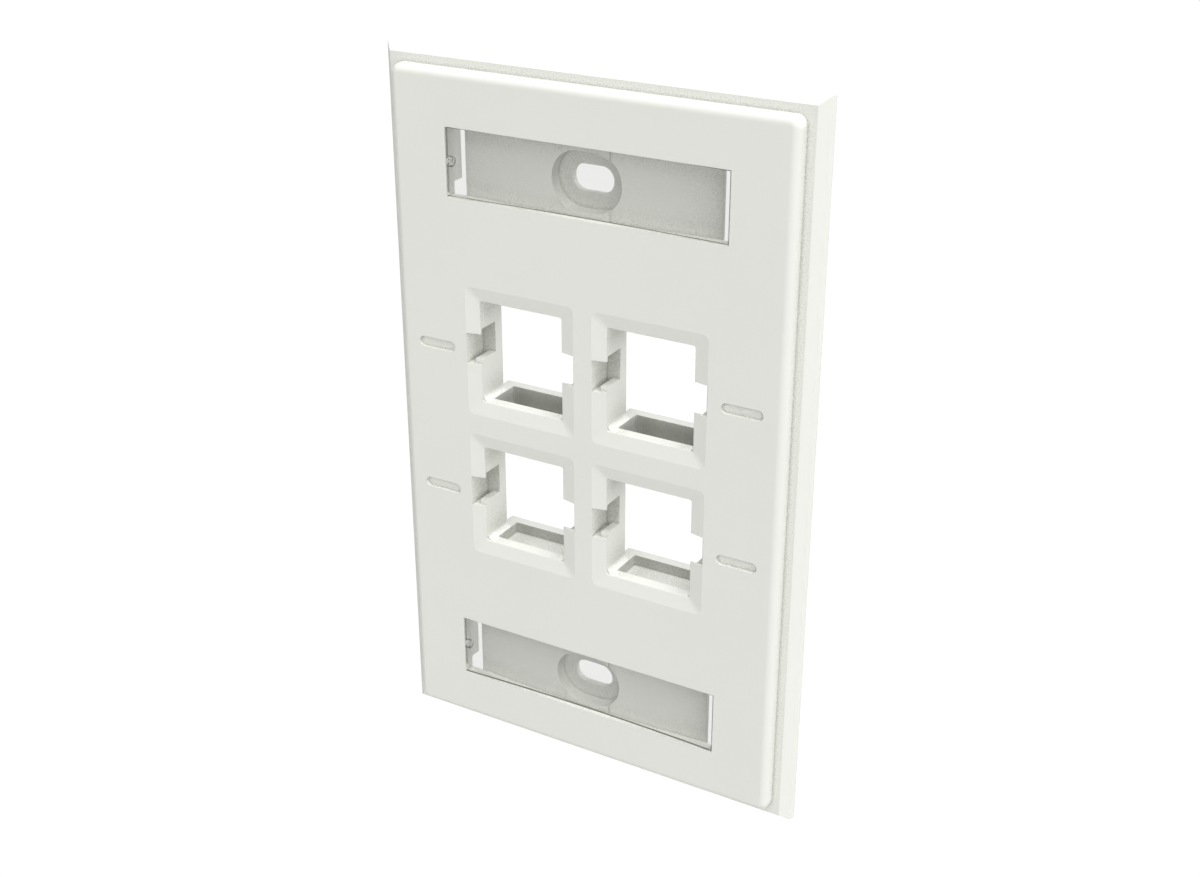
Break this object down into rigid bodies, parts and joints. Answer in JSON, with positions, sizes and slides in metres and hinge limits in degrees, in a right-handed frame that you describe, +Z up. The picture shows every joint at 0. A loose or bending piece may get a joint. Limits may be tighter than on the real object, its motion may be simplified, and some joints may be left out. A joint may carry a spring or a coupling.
{
  "type": "keystone faceplate",
  "caption": "Single-gang wall faceplate with keystone ports, bevelled flange, slotted screw seats and clear snap-in label covers.",
  "frame": {"origin": "middle of the wall plane, halfway between the two screw slots", "axes": "+Y into the wall (the face looks along -Y), +Z up, +X to the right seen from the front"},
  "size_m": [0.0716, 0.0098, 0.1152],
  "materials": {
    "plate": "fine matt off-white moulded ABS",
    "clear_cover": "polished clear polycarbonate"
  },
  "bodies": {
    "root": {"faceplate": "plate", "upper_label_cover": "clear_cover", "lower_label_cover": "clear_cover"}
  },
  "joints": []
}
